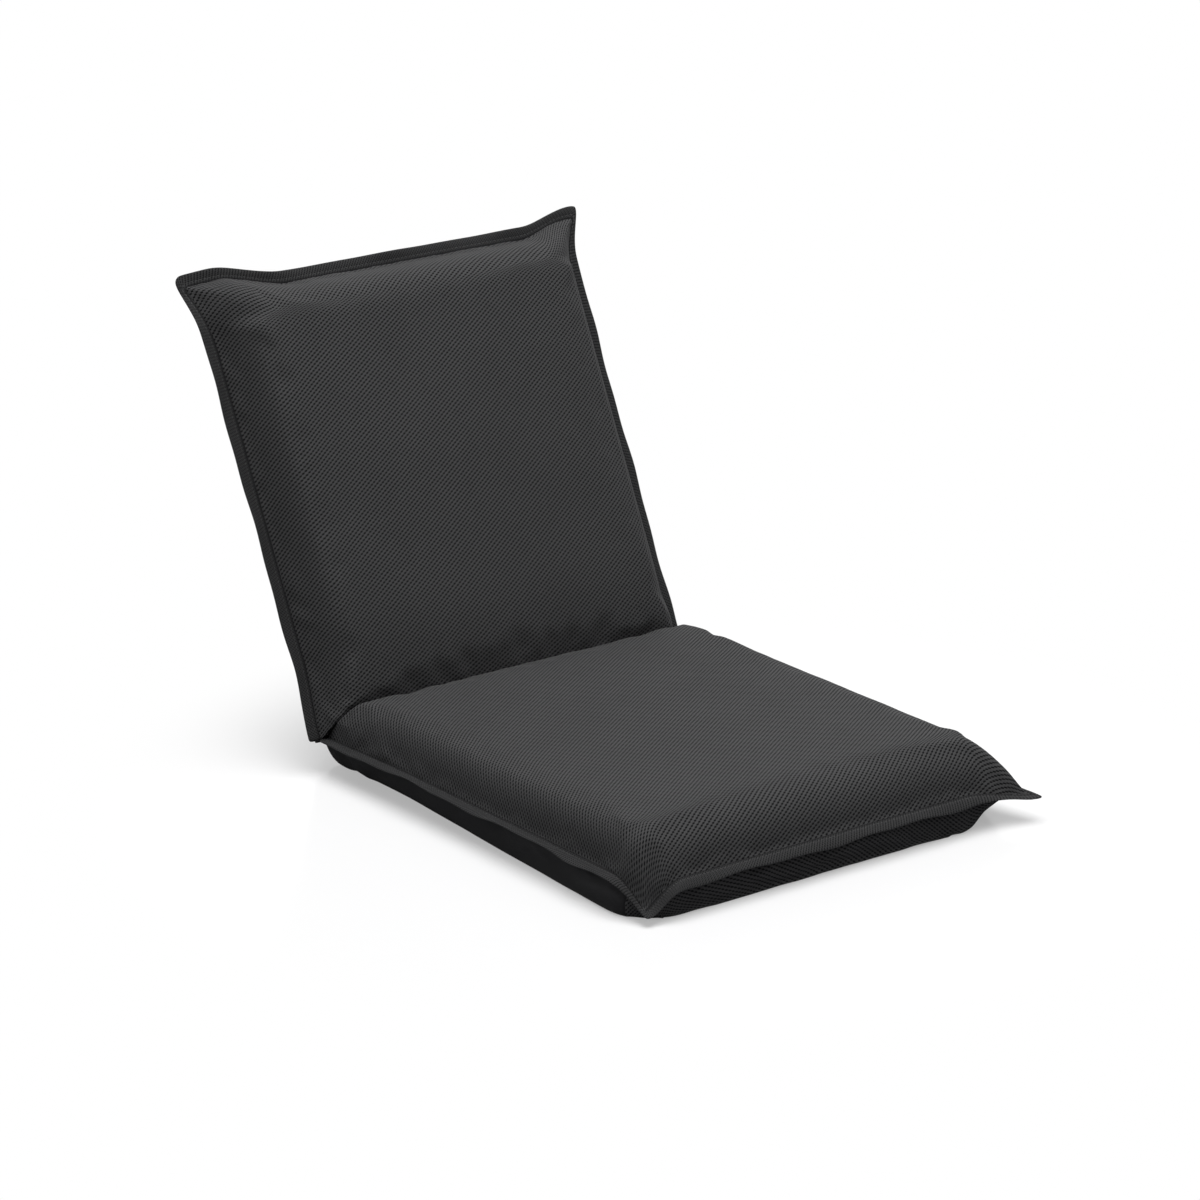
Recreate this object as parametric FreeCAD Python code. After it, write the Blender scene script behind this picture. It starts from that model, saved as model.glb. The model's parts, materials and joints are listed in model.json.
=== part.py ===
"""Folding floor chair: an upholstered seat and back on two U-shaped tube frames,
joined at the sides by a pair of six-click ratchet hinges.

Millimetres. +Z is up, +X to the right of someone who looks at the chair's front,
+Y towards the back. The origin lies on the floor, midway between the front hem
and the hinge axis. Left is -X and right is +X.

Pads and frames are drawn in a flat frame: x across, y away from the hinge axis,
z towards the side that is sat on or leant on. Seat parts are then turned half
round, back parts are tilted up from flat, and both are moved to the hinge axis.
"""
import FreeCAD, Part
import math
import os
from FreeCAD import Vector

# Overall sizes
cover_width = 430.0          # across the hem, edge to edge
seat_length = 468.0          # hinge axis to the front edge of the hem
back_length = 422.0          # hinge axis to the top edge of the hem
rest_angle = 117.0           # between seat and back, as photographed
clicks_from_flat = 4         # the click that holds that angle
click_count = 6
hem_height = 30.0            # floor to hem, hinge axis and tube centres

# Cover
cloth = 2.0                  # spacer-mesh cloth
hem_width = 11.0
hem_thickness = 3.0
hem_draw = 9.0               # how far the filling draws a side in, short of its ears
ear_run = 65.0               # length over which a side runs out to its ear
hem_fold_gap = 14.0          # hem left free each side of the hinge axis
fold_core = 1.0              # radius left free round the hinge axis
fold_steps = 4
crease_gap = 0.3             # each pad's clearance to the plane of the crease
crease_steps = (0.4, 1.0)            # sections drawn along a pad
round_steps = (0, 32, 60, 80)        # degrees round its nose and corners
inner_round_steps = (0, 50)          # the same inside the cloth
inner_chords = 4                     # straight steps round each curve inside the cloth
last_turn = 87                       # the section that closes a nose
least_step = 2.5

# Seat pad above the hem
seat_side_inset = 16.0
seat_shoulder = 34.0
seat_crown = 40.0
seat_nose = 60.0
seat_corner = 30.0
seat_crease_drop = 5.0
seat_crease_run = 60.0

# Back pad in front of the hem
back_side_inset = 26.0
back_shoulder = 38.0
back_crown = 44.0
back_nose = 22.0
back_corner = 22.0
back_crease_drop = 9.0
back_crease_run = 70.0

# Both pads behind the hem
under_inset = 14.0
under_nose = 9.0
under_corner = 30.0
flat_cut = 0.5               # how deep the resting side is cut flat

# Filling
filling_gap = 0.4            # between filling and cloth
felt_thickness = 2.0
felt_gap = 0.1               # felt to tube, and filling to felt
hinge_room = 28.0            # radius kept free round the hinge axis
pocket_half_width = 9.0
pocket_margin = 3.0

# Frames
tube_diameter = 16.0
tube_wall = 1.2
frame_side = 40.0            # tube centres in from the hem's side edges
frame_edge = 48.0            # outer tube centre back from the hem's end edge
tube_bend = 45.0
bend_steps = 4               # straight steps in each quarter bend
cross_tube_diameter = 14.0
seat_cross_places = (180.0, 310.0)   # from the hinge axis
back_cross_places = (150.0, 270.0)

# Ratchet hinge
plate_thickness = 2.0
plate_radius = 25.0
plate_tail = 58.0            # axis to the centre of the tail's round end
plate_tail_radius = 9.0
tang_thickness = 4.0
tang_start = 29.0
tang_end = 68.0
swage_end = 90.0
swage_sides = 16
gear_thickness = 3.6
gear_radius = 17.0
notch_root = 14.2
notch_ramp_deg = 12.0
notch_lean_deg = 1.0
tongue_width = 12.8
tongue_end = 68.0
back_tube_start = 40.0
pivot_radius = 4.0
running_gap = 0.05
pivot_head_radius = 8.0
rivet_radius = 2.0
rivet_head_radius = 4.0
head_height = 2.0            # of a rivet's head
small_sides = 8              # sides of the small rivets, pins and their holes
tang_rivets = (42.0, 58.0)   # from the hinge axis
tongue_rivets = (48.0, 60.0)
spring_pin_place = (-21.0, -14.0)    # y and z from the hinge axis
spring_pin_radius = 2.5
spring_pin_head_radius = 3.8
spring_eye_radius = 4.2
spring_width = 3.2
spring_leaf = 2.0
leaf_drop = 0.8              # leaf below the gear's teeth
claw_gap = 0.2

# Zip on the outside of the back
zip_length = 300.0           # of the slit in the cloth
zip_place = 80.0             # from the hinge axis
slit_width = 12.0
zip_tape_width = 26.0
zip_tape_thickness = 0.8
zip_tape_gap = 0.1           # tape to cloth, and foam to tape
chain_width = 6.0
chain_height = 1.6
slider_length = 13.0
slider_wall = 1.2
slider_gap = 0.3
crown_length = 9.0
crown_width = 2.4
crown_bar = 1.0
crown_opening = 1.6
pull_length = 26.0
pull_width = 7.5
pull_thickness = 0.9
stop_length = 4.0

# Worked out from those
tilt = 180.0 - rest_angle
click_pitch = tilt / clicks_from_flat
tube_radius = tube_diameter / 2
hinge_x = cover_width / 2 - frame_side
body_half_width = cover_width / 2 - hem_draw - hem_width
hinge_axis = Vector(0, seat_length / 2, hem_height)
X_AXIS = Vector(1, 0, 0)
Y_AXIS = Vector(0, 1, 0)
Z_AXIS = Vector(0, 0, 1)
ORIGIN = Vector(0, 0, 0)
big = 2 * (seat_length + back_length + cover_width)


def place_seat(shape):
    """From the flat frame to the seat's place."""
    moved = shape.copy()
    moved.rotate(ORIGIN, Z_AXIS, 180)
    moved.translate(hinge_axis)
    return moved


def place_back(shape):
    """From the flat frame to the back's place at the photographed angle."""
    moved = shape.copy()
    moved.rotate(ORIGIN, X_AXIS, tilt)
    moved.translate(hinge_axis)
    return moved


def place_hinge(shape, side):
    """A hinge piece drawn round the axis at x = 0, moved to one side's hinge."""
    moved = shape.copy()
    moved.translate(hinge_axis + X_AXIS * side * hinge_x)
    return moved


def save(name, shape):
    shape.exportStep(os.path.join("parts", name + ".step"))
    print(name, len(shape.Solids), "solids", round(shape.Volume, 1), "mm3", shape.isValid())


def line(a, b):
    return Part.LineSegment(a, b).toShape()


def arc(a, through, b):
    return Part.Arc(a, through, b).toShape()


def closed_outline(points):
    """A wire of straight lines round a list of points."""
    return Part.Wire([line(a, b) for a, b in zip(points, points[1:] + points[:1])])


def round_bar(radius, length, y=0.0, z=0.0):
    """A cylinder across x, centred on x = 0."""
    return Part.makeCylinder(radius, length, Vector(-length / 2, y, z), X_AXIS)


def small_bar(radius, length, y=0.0, z=0.0):
    """The same with a few flat sides, for the small fasteners and their holes."""
    corners = [Vector(-length / 2, y, z) + polar(radius, 360.0 * turn / small_sides)
               for turn in range(small_sides)]
    return Part.Face(closed_outline(corners)).extrude(X_AXIS * length)


def polar(radius, degrees):
    """A point in the hinge's y-z plane."""
    turn = math.radians(degrees)
    return Vector(0, radius * math.cos(turn), radius * math.sin(turn))


def block(low, high):
    return Part.makeBox(high[0] - low[0], high[1] - low[1], high[2] - low[2], Vector(*low))


def section(y, half_width, inset, shoulder, crown, up, foot=0.0, chords=0):
    """A pad's outline at one place: flat at the hem, or at a foot's height off it, a
    rounded side that levels out at the shoulder, and a crown between the shoulders. up is
    1 above the hem, -1 behind it. With chords, its curves are that many straight steps."""
    side_radius = (inset ** 2 + shoulder ** 2) / (2 * shoulder)
    centre_z = shoulder - side_radius
    start_turn = math.atan2(-centre_z, inset)
    middle_turn = (start_turn + math.pi / 2) / 2
    middle_x = half_width - inset + side_radius * math.cos(middle_turn)
    middle_z = centre_z + side_radius * math.sin(middle_turn)

    def point(x, z):
        return Vector(x, y, up * z)

    hem_left = point(-half_width, foot)
    hem_right = point(half_width, foot)
    left = point(-half_width + inset, shoulder)
    right = point(half_width - inset, shoulder)
    top = arc(right, point(0, crown), left) if crown > shoulder else line(right, left)
    curves = [arc(hem_right, point(middle_x, middle_z), right), top,
              arc(left, point(-middle_x, middle_z), hem_left)]
    if chords:
        points = [place for curve in curves for place in curve.discretize(chords + 1)[:-1]]
        return closed_outline(points + [hem_left])
    return Part.Wire([line(hem_left, hem_right)] + curves)


def section_places(shape, end, turns):
    """Where a pad's sections are drawn, closer together where it rounds off."""
    places = [-hinge_room, 0.0]
    places += [shape["crease_run"] * share for share in crease_steps]
    rounds = [end - run * (1 - math.sin(math.radians(turn)))
              for run in (shape["nose"], shape["corner"]) for turn in turns + (last_turn,)]
    for place in sorted(rounds):
        if place - places[-1] > least_step:
            places.append(place)
    return places


def pad(length, shape, up, shrink=0.0):
    """One half of a pad as a solid, from the hinge axis to its rounded nose.
    shrink is how far its faces lie inside the cloth's outer face."""
    end = length - hem_draw - hem_width - shrink
    half_width = body_half_width - shrink
    nose_start = end - shape["nose"]
    corner = shape["corner"]
    wires = []
    for place in section_places(shape, end, inner_round_steps if shrink else round_steps):
        drop = shape["crease_drop"] * max(0.0, 1 - max(place, 0.0) / shape["crease_run"]) ** 2
        past_nose = max(0.0, min(1.0, (place - nose_start) / shape["nose"]))
        fall = math.sqrt(1 - past_nose ** 2)
        past_corner = max(0.0, place - (end - corner))
        width = half_width - drop - corner + math.sqrt(corner ** 2 - past_corner ** 2)
        wires.append(section(place, width, shape["inset"],
                             (shape["shoulder"] - shrink - drop) * fall,
                             (shape["crown"] - shrink - drop) * fall, up,
                             chords=inner_chords if shrink else 0))
    return Part.makeLoft(wires, True, True)


def beyond_crease(clearance):
    """The space on the far side of the crease: the plane through the hinge axis that
    halves the photographed angle, moved towards the pad by a clearance."""
    space = block((-big, -big, -big), (big, 0, big))
    space.rotate(ORIGIN, X_AXIS, rest_angle / 2 - 90)
    normal = Vector(0, math.sin(math.radians(rest_angle / 2)), -math.cos(math.radians(rest_angle / 2)))
    space.translate(normal * clearance)
    return space


def behind_axis(clearance):
    return block((-big, -big, -big), (big, clearance, big))


def beyond_resting_side(depth):
    return block((-big, -big, -big), (big, big, -depth))


def hinge_space():
    """Room for both hinges, round the axis and along the plates' tails."""
    across = cover_width + 2 * hem_width
    space = Part.makeCylinder(hinge_room, across, Vector(-across / 2, 0, 0), X_AXIS)
    for side in (-1, 1):
        middle = side * hinge_x
        space = space.fuse(block(
            (middle - pocket_half_width, 0, -plate_radius - pocket_margin / 2),
            (middle + pocket_half_width, plate_tail + plate_tail_radius + pocket_margin, plate_radius)))
    return space


seat_top_shape = {"inset": seat_side_inset, "shoulder": seat_shoulder, "crown": seat_crown,
                  "nose": seat_nose, "corner": seat_corner,
                  "crease_drop": seat_crease_drop, "crease_run": seat_crease_run}
back_front_shape = {"inset": back_side_inset, "shoulder": back_shoulder, "crown": back_crown,
                    "nose": back_nose, "corner": back_corner,
                    "crease_drop": back_crease_drop, "crease_run": back_crease_run}
under_shape = {"inset": under_inset, "shoulder": hem_height + flat_cut, "crown": hem_height + flat_cut,
               "nose": under_nose, "corner": under_corner, "crease_drop": 0.0,
               "crease_run": hinge_room}


def top_cover(length, shape):
    """The cloth over the side that is used, open at the hem and cut along the crease."""
    skin = pad(length, shape, 1).cut(pad(length, shape, 1, cloth))
    return skin.cut(beyond_crease(crease_gap))


def under_cover(length):
    """The cloth behind the hem, flat where it rests."""
    outer = pad(length, under_shape, -1).cut(beyond_resting_side(hem_height))
    inner = pad(length, under_shape, -1, cloth).cut(beyond_resting_side(hem_height - cloth))
    return outer.cut(inner).cut(behind_axis(crease_gap))


def top_filling(length, shape):
    """Foam over the felt, cut to the crease and round the hinges."""
    foam = pad(length, shape, 1, cloth + filling_gap)
    lowest = tube_radius + 2 * felt_gap + felt_thickness
    foam = foam.cut(block((-big, -big, -big), (big, big, lowest)))
    return foam.cut(beyond_crease(crease_gap + filling_gap)).cut(hinge_space())


def under_filling(length):
    """Thin foam behind the tubes."""
    foam = pad(length, under_shape, -1, cloth + filling_gap)
    foam = foam.cut(beyond_resting_side(hem_height - cloth - filling_gap))
    foam = foam.cut(block((-big, -big, -tube_radius - felt_gap), (big, big, big)))
    return foam.cut(behind_axis(crease_gap)).cut(hinge_space())


def felt(length):
    """Flat felt that keeps the tubes out of the foam."""
    start = plate_tail + plate_tail_radius + pocket_margin
    reach = hinge_x + tube_radius / 2
    return block((-reach, start, tube_radius + felt_gap),
                 (reach, length - frame_edge + tube_radius / 2, tube_radius + felt_gap + felt_thickness))


def hem(length, top_shape):
    """The stitched flange round three sides. The filling draws each side in, so the
    corners stand out as ears."""
    half = cover_width / 2
    drawn = half - hem_draw
    radius = (ear_run ** 2 + hem_draw ** 2) / (2 * hem_draw)
    half_turn = math.asin(ear_run / radius) / 2
    part_run = radius * math.sin(half_turn)
    part_draw = radius * (1 - math.cos(half_turn))

    def side_flare(sign):
        return [Vector(sign * drawn, length - ear_run, 0),
                Vector(sign * (drawn + part_draw), length - ear_run + part_run, 0),
                Vector(sign * half, length, 0)]

    def end_flare(sign):
        return [Vector(sign * half, length, 0),
                Vector(sign * (half - ear_run + part_run), length - hem_draw + part_draw, 0),
                Vector(sign * (half - ear_run), length - hem_draw, 0)]
    left, right = side_flare(-1), side_flare(1)
    end_left, end_right = end_flare(-1), end_flare(1)
    foot_left = Vector(-drawn, hem_fold_gap, 0)
    foot_right = Vector(drawn, hem_fold_gap, 0)
    outline = Part.Wire([
        line(foot_left, left[0]), arc(*left), arc(*end_left), line(end_left[2], end_right[2]),
        arc(*reversed(end_right)), arc(*reversed(right)), line(right[0], foot_right),
        line(foot_right, foot_left)])
    sheet = Part.Face(outline).extrude(Z_AXIS * hem_thickness)
    sheet.translate(Z_AXIS * -hem_thickness / 2)
    return sheet.cut(pad(length, top_shape, 1)).cut(pad(length, under_shape, -1))


def fold_cover():
    """The cloth that goes round the hinge axis between the two undersides: their own
    section, turned about that axis."""
    def turned(shrink):
        wires = []
        for step in range(fold_steps + 1):
            wire = section(0.0, body_half_width - shrink, under_inset,
                           hem_height - shrink, hem_height - shrink, -1, fold_core,
                           inner_chords if shrink else 0)
            wire.rotate(ORIGIN, X_AXIS, tilt * step / fold_steps)
            wires.append(wire)
        return Part.makeLoft(wires, True, True)
    skin = turned(0.0).cut(turned(cloth))
    skin.translate(hinge_axis)
    return skin


def bent_rod(length, start, radius):
    """A round rod along one frame's centre line: two legs that begin at the same distance
    from the hinge, and two quarter bends joined by the straight run."""
    run = length - frame_edge
    run_end = hinge_x - tube_bend
    rings = [Part.Wire([Part.makeCircle(radius, Vector(hinge_x, start, 0), Y_AXIS)])]
    for step in range(bend_steps + 1):
        turn = math.radians(90.0 * step / bend_steps)
        out = Vector(math.cos(turn), math.sin(turn), 0)
        along = Vector(-math.sin(turn), math.cos(turn), 0)
        centre = Vector(run_end, run - tube_bend, 0) + out * tube_bend
        rings.append(Part.Wire([Part.makeCircle(radius, centre, along)]))
    rings.append(Part.Wire([Part.makeCircle(radius, Vector(0, run, 0), X_AXIS * -1)]))
    half = Part.makeLoft(rings, True, True)
    return half.fuse(half.mirror(ORIGIN, X_AXIS))


def frame_tube(length, start):
    return bent_rod(length, start, tube_radius).cut(bent_rod(length, start, tube_radius - tube_wall))


def swaged_end():
    """The seat tube's end: pressed flat to a tang and growing back to the round tube."""
    half_thick = tang_thickness / 2
    flat = []
    full = []
    for step in range(swage_sides):
        turn = 2 * math.pi * step / swage_sides
        x = tube_radius * math.cos(turn)
        z = tube_radius * math.sin(turn)
        flat.append(Vector(max(-half_thick, min(half_thick, x)), tang_end, z))
        full.append(Vector(x, swage_end, z))
    swage = Part.makeLoft([closed_outline(flat), closed_outline(full)], True, True)
    tang = block((-half_thick, tang_start, -tube_radius), (half_thick, tang_end, tube_radius))
    return swage.fuse(tang)


def cross_bore(places, radius):
    """Holes across the whole width, at distances from the axis in the flat frame."""
    return Part.makeCompound([small_bar(radius, big, y=place) for place in places])


def seat_frame():
    tube = frame_tube(seat_length, swage_end)
    for side in (-1, 1):
        end = swaged_end()
        end.translate(X_AXIS * side * hinge_x)
        tube = tube.fuse(end)
    return tube.cut(cross_bore(tang_rivets, rivet_radius)).removeSplitter()


def back_frame():
    tube = frame_tube(back_length, back_tube_start)
    return tube.cut(cross_bore(tongue_rivets, rivet_radius)).removeSplitter()


def cross_tube(place):
    """A straight tube welded between the legs, its ends coped to their round."""
    radius = cross_tube_diameter / 2
    tube = round_bar(radius, 2 * hinge_x, y=place).cut(round_bar(radius - tube_wall, 2 * hinge_x, y=place))
    for side in (-1, 1):
        leg = Part.makeCylinder(tube_radius, big, Vector(side * hinge_x, -big / 2, 0), Y_AXIS)
        tube = tube.cut(leg)
    return tube


def rivet(bar, grip, radius, head_radius):
    """A flat-headed rivet across x, its grip centred on x = 0. bar draws its rounds."""
    pin = bar(radius, grip + 2 * head_height)
    for side in (-1, 1):
        head = bar(head_radius, head_height)
        head.translate(X_AXIS * side * (grip + head_height) / 2)
        pin = pin.fuse(head)
    return pin.removeSplitter()


def hinge_plate(inner_face):
    """A stamped teardrop plate. inner_face is the x of the face that meets the tang."""
    reach = plate_tail
    tangent = math.degrees(math.acos((plate_radius - plate_tail_radius) / reach))
    tail_centre = Vector(0, -reach, 0)
    disc_up = polar(plate_radius, 180 - tangent)
    disc_down = polar(plate_radius, 180 + tangent)
    tail_up = tail_centre + polar(plate_tail_radius, 180 - tangent)
    tail_down = tail_centre + polar(plate_tail_radius, 180 + tangent)
    outline = Part.Wire([
        arc(disc_down, polar(plate_radius, 0), disc_up),
        line(disc_up, tail_up),
        arc(tail_up, tail_centre + polar(plate_tail_radius, 180), tail_down),
        line(tail_down, disc_down),
    ])
    thickness = plate_thickness if inner_face > 0 else -plate_thickness
    plate = Part.Face(outline).extrude(X_AXIS * thickness)
    plate.translate(X_AXIS * inner_face)
    holes = [small_bar(rivet_radius, big, y=-place) for place in tang_rivets]
    holes += [round_bar(pivot_radius, big), small_bar(spring_pin_radius, big, *spring_pin_place)]
    return plate.cut(holes)


def ratchet_gear():
    """The toothed plate and its tongue, in the back's flat frame: the tongue points
    along +y, and the notch for the flat position points straight down at the claw."""
    edges = []
    last = 270.0 - (click_count - 1) * click_pitch
    for index in range(click_count):
        turn = last + index * click_pitch
        root = polar(notch_root, turn)
        crest = polar(gear_radius, turn + notch_lean_deg)
        ramp_start = polar(gear_radius, turn - notch_ramp_deg)
        edges.append(line(ramp_start, root))
        edges.append(line(root, crest))
        if index < click_count - 1:
            next_ramp = turn + click_pitch - notch_ramp_deg
        else:
            next_ramp = last + 360.0 - notch_ramp_deg
        middle = (turn + notch_lean_deg + next_ramp) / 2
        edges.append(arc(crest, polar(gear_radius, middle), polar(gear_radius, next_ramp)))
    gear = Part.Face(Part.Wire(edges)).extrude(X_AXIS * gear_thickness)
    gear.translate(X_AXIS * -gear_thickness / 2)
    tongue = block((-gear_thickness / 2, 0, -tongue_width / 2),
                   (gear_thickness / 2, tongue_end, tongue_width / 2))
    gear = gear.fuse(tongue).cut(round_bar(pivot_radius + running_gap, big))
    return gear.cut(cross_bore(tongue_rivets, rivet_radius)).removeSplitter()


def claw_spring():
    """Spring-steel leaf on its pin. Its hooked end stands in the notch at the bottom of
    the gear, so the back can be raised click by click but not let down."""
    pin_y, pin_z = spring_pin_place
    ramp_foot = polar(notch_root, 270)
    ramp_head = polar(gear_radius, 270 - notch_ramp_deg)
    along = (ramp_head - ramp_foot).normalize()
    away = Vector(0, -along.z, along.y)
    if away.z > 0:
        away = away * -1
    face = ramp_foot + away * claw_gap
    hook_end = -claw_gap
    tip = face + along * ((face.y - hook_end) / -along.y)
    hook_start = face + along * ((ramp_head - ramp_foot).Length)
    leaf_top = -gear_radius - leaf_drop
    eye_low = pin_z - spring_eye_radius
    points = [
        tip,
        hook_start,
        Vector(0, hook_start.y, leaf_top),
        Vector(0, pin_y, eye_low + spring_leaf),
        Vector(0, pin_y, eye_low),
        Vector(0, hook_end, leaf_top - spring_leaf),
    ]
    leaf = Part.Face(closed_outline(points)).extrude(X_AXIS * spring_width)
    leaf.translate(X_AXIS * -spring_width / 2)
    eye = round_bar(spring_eye_radius, spring_width, pin_y, pin_z)
    hole = small_bar(spring_pin_radius + running_gap, spring_width, pin_y, pin_z)
    return leaf.fuse(eye).cut(hole).removeSplitter()


def make_hinge(name, side):
    """One hinge's plates and spring, which stay with the seat, and its gear, which goes
    with the back."""
    save(name + "_hinge_outer_plate", place_hinge(hinge_plate(side * tang_thickness / 2), side))
    save(name + "_hinge_inner_plate", place_hinge(hinge_plate(-side * tang_thickness / 2), side))
    save(name + "_claw_spring", place_hinge(claw_spring(), side))
    gear = ratchet_gear()
    gear.translate(X_AXIS * side * hinge_x)
    save(name + "_ratchet_gear", place_back(gear))


def in_both_hinges(pins):
    """The same fasteners in the left and right hinge, as one node."""
    both = []
    for side in (-1, 1):
        for pin in pins:
            moved = pin.copy()
            moved.translate(X_AXIS * side * hinge_x)
            both.append(moved)
    return Part.makeCompound(both)


def make_fasteners():
    """Rivets and pins of both hinges."""
    grip = tang_thickness + 2 * plate_thickness
    pivot = rivet(round_bar, grip, pivot_radius, pivot_head_radius)
    save("pivot_rivets", place_seat(in_both_hinges([pivot])))
    pin = rivet(small_bar, grip, spring_pin_radius, spring_pin_head_radius)
    pin.translate(Vector(0, *spring_pin_place))
    both = in_both_hinges([pin])
    both.translate(hinge_axis)
    save("spring_pins", both)
    for name, reach, places, place_arm in (("seat", grip, tang_rivets, place_seat),
                                           ("back", tube_diameter, tongue_rivets, place_back)):
        pins = []
        for place in places:
            pin = rivet(small_bar, reach, rivet_radius, rivet_head_radius)
            pin.translate(Y_AXIS * place)
            pins.append(pin)
        save(name + "_arm_rivets", place_arm(in_both_hinges(pins)))


def zip_slit():
    """The slit in the cloth behind the back, in the flat frame."""
    half = zip_length / 2
    return block((-half, zip_place - slit_width / 2, -big),
                 (half, zip_place + slit_width / 2, 0))


def zip_tape_space(margin):
    """The tape, just inside the cloth, or the room that the foam leaves for it."""
    outside = cloth - hem_height + zip_tape_gap
    half = zip_length / 2 + slit_width / 2
    return block((-half - margin, zip_place - zip_tape_width / 2 - margin, outside),
                 (half + margin, zip_place + zip_tape_width / 2 + margin,
                  outside + zip_tape_thickness + margin))


def make_zip():
    """A coil zip in a slit behind the back, drawn with its outside facing down."""
    half = zip_length / 2 - slider_gap
    tape_face = cloth - hem_height + zip_tape_gap
    chain_face = tape_face - chain_height
    chain_half = half - stop_length
    chain = block((-chain_half, zip_place - chain_width / 2, chain_face),
                  (chain_half, zip_place + chain_width / 2, tape_face))
    stops = Part.makeCompound([
        block((start, zip_place - chain_width / 2, chain_face),
              (start + stop_length, zip_place + chain_width / 2, tape_face))
        for start in (-half, chain_half)])
    save("zip_tape", place_back(zip_tape_space(0)))
    save("zip_chain", place_back(chain))
    save("zip_end_stops", place_back(stops))

    slider_x = chain_half - slider_length / 2
    roof_in = chain_face - slider_gap
    roof_out = roof_in - slider_wall
    room = chain_width / 2 + slider_gap
    slider = block((-slider_length / 2, -room - slider_wall, roof_out),
                   (slider_length / 2, room + slider_wall, tape_face - slider_gap))
    slider = slider.cut(block((-slider_length, -room, roof_in), (slider_length, room, 0)))
    crown_face = roof_out - crown_opening - crown_bar
    crown = block((-crown_length / 2, -crown_width / 2, crown_face),
                  (crown_length / 2, crown_width / 2, roof_out))
    crown = crown.cut(block((-crown_length / 2 + crown_bar, -crown_width, crown_face + crown_bar),
                            (crown_length / 2 - crown_bar, crown_width, roof_out)))
    slider = slider.fuse(crown)
    slider.translate(Vector(slider_x, zip_place, 0))
    save("zip_slider", place_back(slider))

    axis_z = roof_out - crown_opening / 2
    window = crown_length / 2 + crown_bar
    rail = crown_width / 2 + slider_gap
    pull = block((-pull_length, -pull_width / 2, axis_z - pull_thickness / 2),
                 (0, pull_width / 2, axis_z + pull_thickness / 2))
    pull = pull.cut(block((-window, -rail, axis_z - pull_thickness), (0, rail, axis_z + pull_thickness)))
    bar = Part.makeCylinder(pull_thickness / 2, pull_width, Vector(0, -pull_width / 2, axis_z), Y_AXIS)
    pull = pull.fuse(bar).removeSplitter()
    pull.translate(Vector(slider_x, zip_place, 0))
    save("zip_pull", place_back(pull))


def main():
    os.makedirs("parts", exist_ok=True)
    save("seat_cover_top", place_seat(top_cover(seat_length, seat_top_shape)))
    save("seat_cover_underside", place_seat(under_cover(seat_length)))
    save("seat_hem", place_seat(hem(seat_length, seat_top_shape)))
    save("seat_foam", place_seat(top_filling(seat_length, seat_top_shape)))
    save("seat_underfoam", place_seat(under_filling(seat_length)))
    save("seat_felt", place_seat(felt(seat_length)))
    save("seat_frame_tube", place_seat(seat_frame()))
    save("fold_cover", fold_cover())
    save("back_cover_front", place_back(top_cover(back_length, back_front_shape)))
    save("back_cover_rear", place_back(under_cover(back_length).cut(zip_slit())))
    save("back_hem", place_back(hem(back_length, back_front_shape)))
    save("back_foam", place_back(top_filling(back_length, back_front_shape)))
    rear_foam = under_filling(back_length).cut(zip_tape_space(zip_tape_gap))
    save("back_rear_foam", place_back(rear_foam))
    save("back_felt", place_back(felt(back_length)))
    save("back_frame_tube", place_back(back_frame()))
    for place, name in zip(seat_cross_places, ("rear", "front")):
        save("seat_cross_tube_" + name, place_seat(cross_tube(place)))
    for place, name in zip(back_cross_places, ("lower", "upper")):
        save("back_cross_tube_" + name, place_back(cross_tube(place)))
    for name, side in (("left", -1), ("right", 1)):
        make_hinge(name, side)
    make_fasteners()
    make_zip()


main()
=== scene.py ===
import bpy
import json
import numpy as np
from mathutils import Matrix, Vector


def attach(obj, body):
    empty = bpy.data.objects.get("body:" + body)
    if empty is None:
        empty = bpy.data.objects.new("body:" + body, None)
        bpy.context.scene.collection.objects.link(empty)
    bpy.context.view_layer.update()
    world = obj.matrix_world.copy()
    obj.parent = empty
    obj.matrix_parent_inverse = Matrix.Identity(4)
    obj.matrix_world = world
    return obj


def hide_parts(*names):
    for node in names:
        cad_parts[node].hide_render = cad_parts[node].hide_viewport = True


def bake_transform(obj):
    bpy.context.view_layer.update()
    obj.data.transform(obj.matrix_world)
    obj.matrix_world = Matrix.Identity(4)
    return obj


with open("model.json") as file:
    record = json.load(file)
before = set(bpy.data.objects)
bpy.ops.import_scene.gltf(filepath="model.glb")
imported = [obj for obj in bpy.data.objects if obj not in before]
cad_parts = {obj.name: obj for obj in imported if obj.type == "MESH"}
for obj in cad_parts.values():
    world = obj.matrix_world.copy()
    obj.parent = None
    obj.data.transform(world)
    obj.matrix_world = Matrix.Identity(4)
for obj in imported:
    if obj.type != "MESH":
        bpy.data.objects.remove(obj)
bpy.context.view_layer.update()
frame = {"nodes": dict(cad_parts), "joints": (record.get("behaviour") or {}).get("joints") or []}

# A folding floor chair: two cushions in one mesh cover, on two tube frames joined by ratchet hinges.
# Cushions are worked out in a flat frame, x across, y away from the hinge axis and z towards the side
# that is used, and are then turned into the seat's place or tilted into the back's.
recline = next(joint for joint in frame["joints"] if joint["name"] == "back_recline")
hingeAxis = np.array(recline["pos_m"])
restAngle = np.radians(117)
tilt = np.pi - restAngle
creaseLean = 1 / np.tan(restAngle / 2)      # how far the crease's plane runs out for each unit of height

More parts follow.
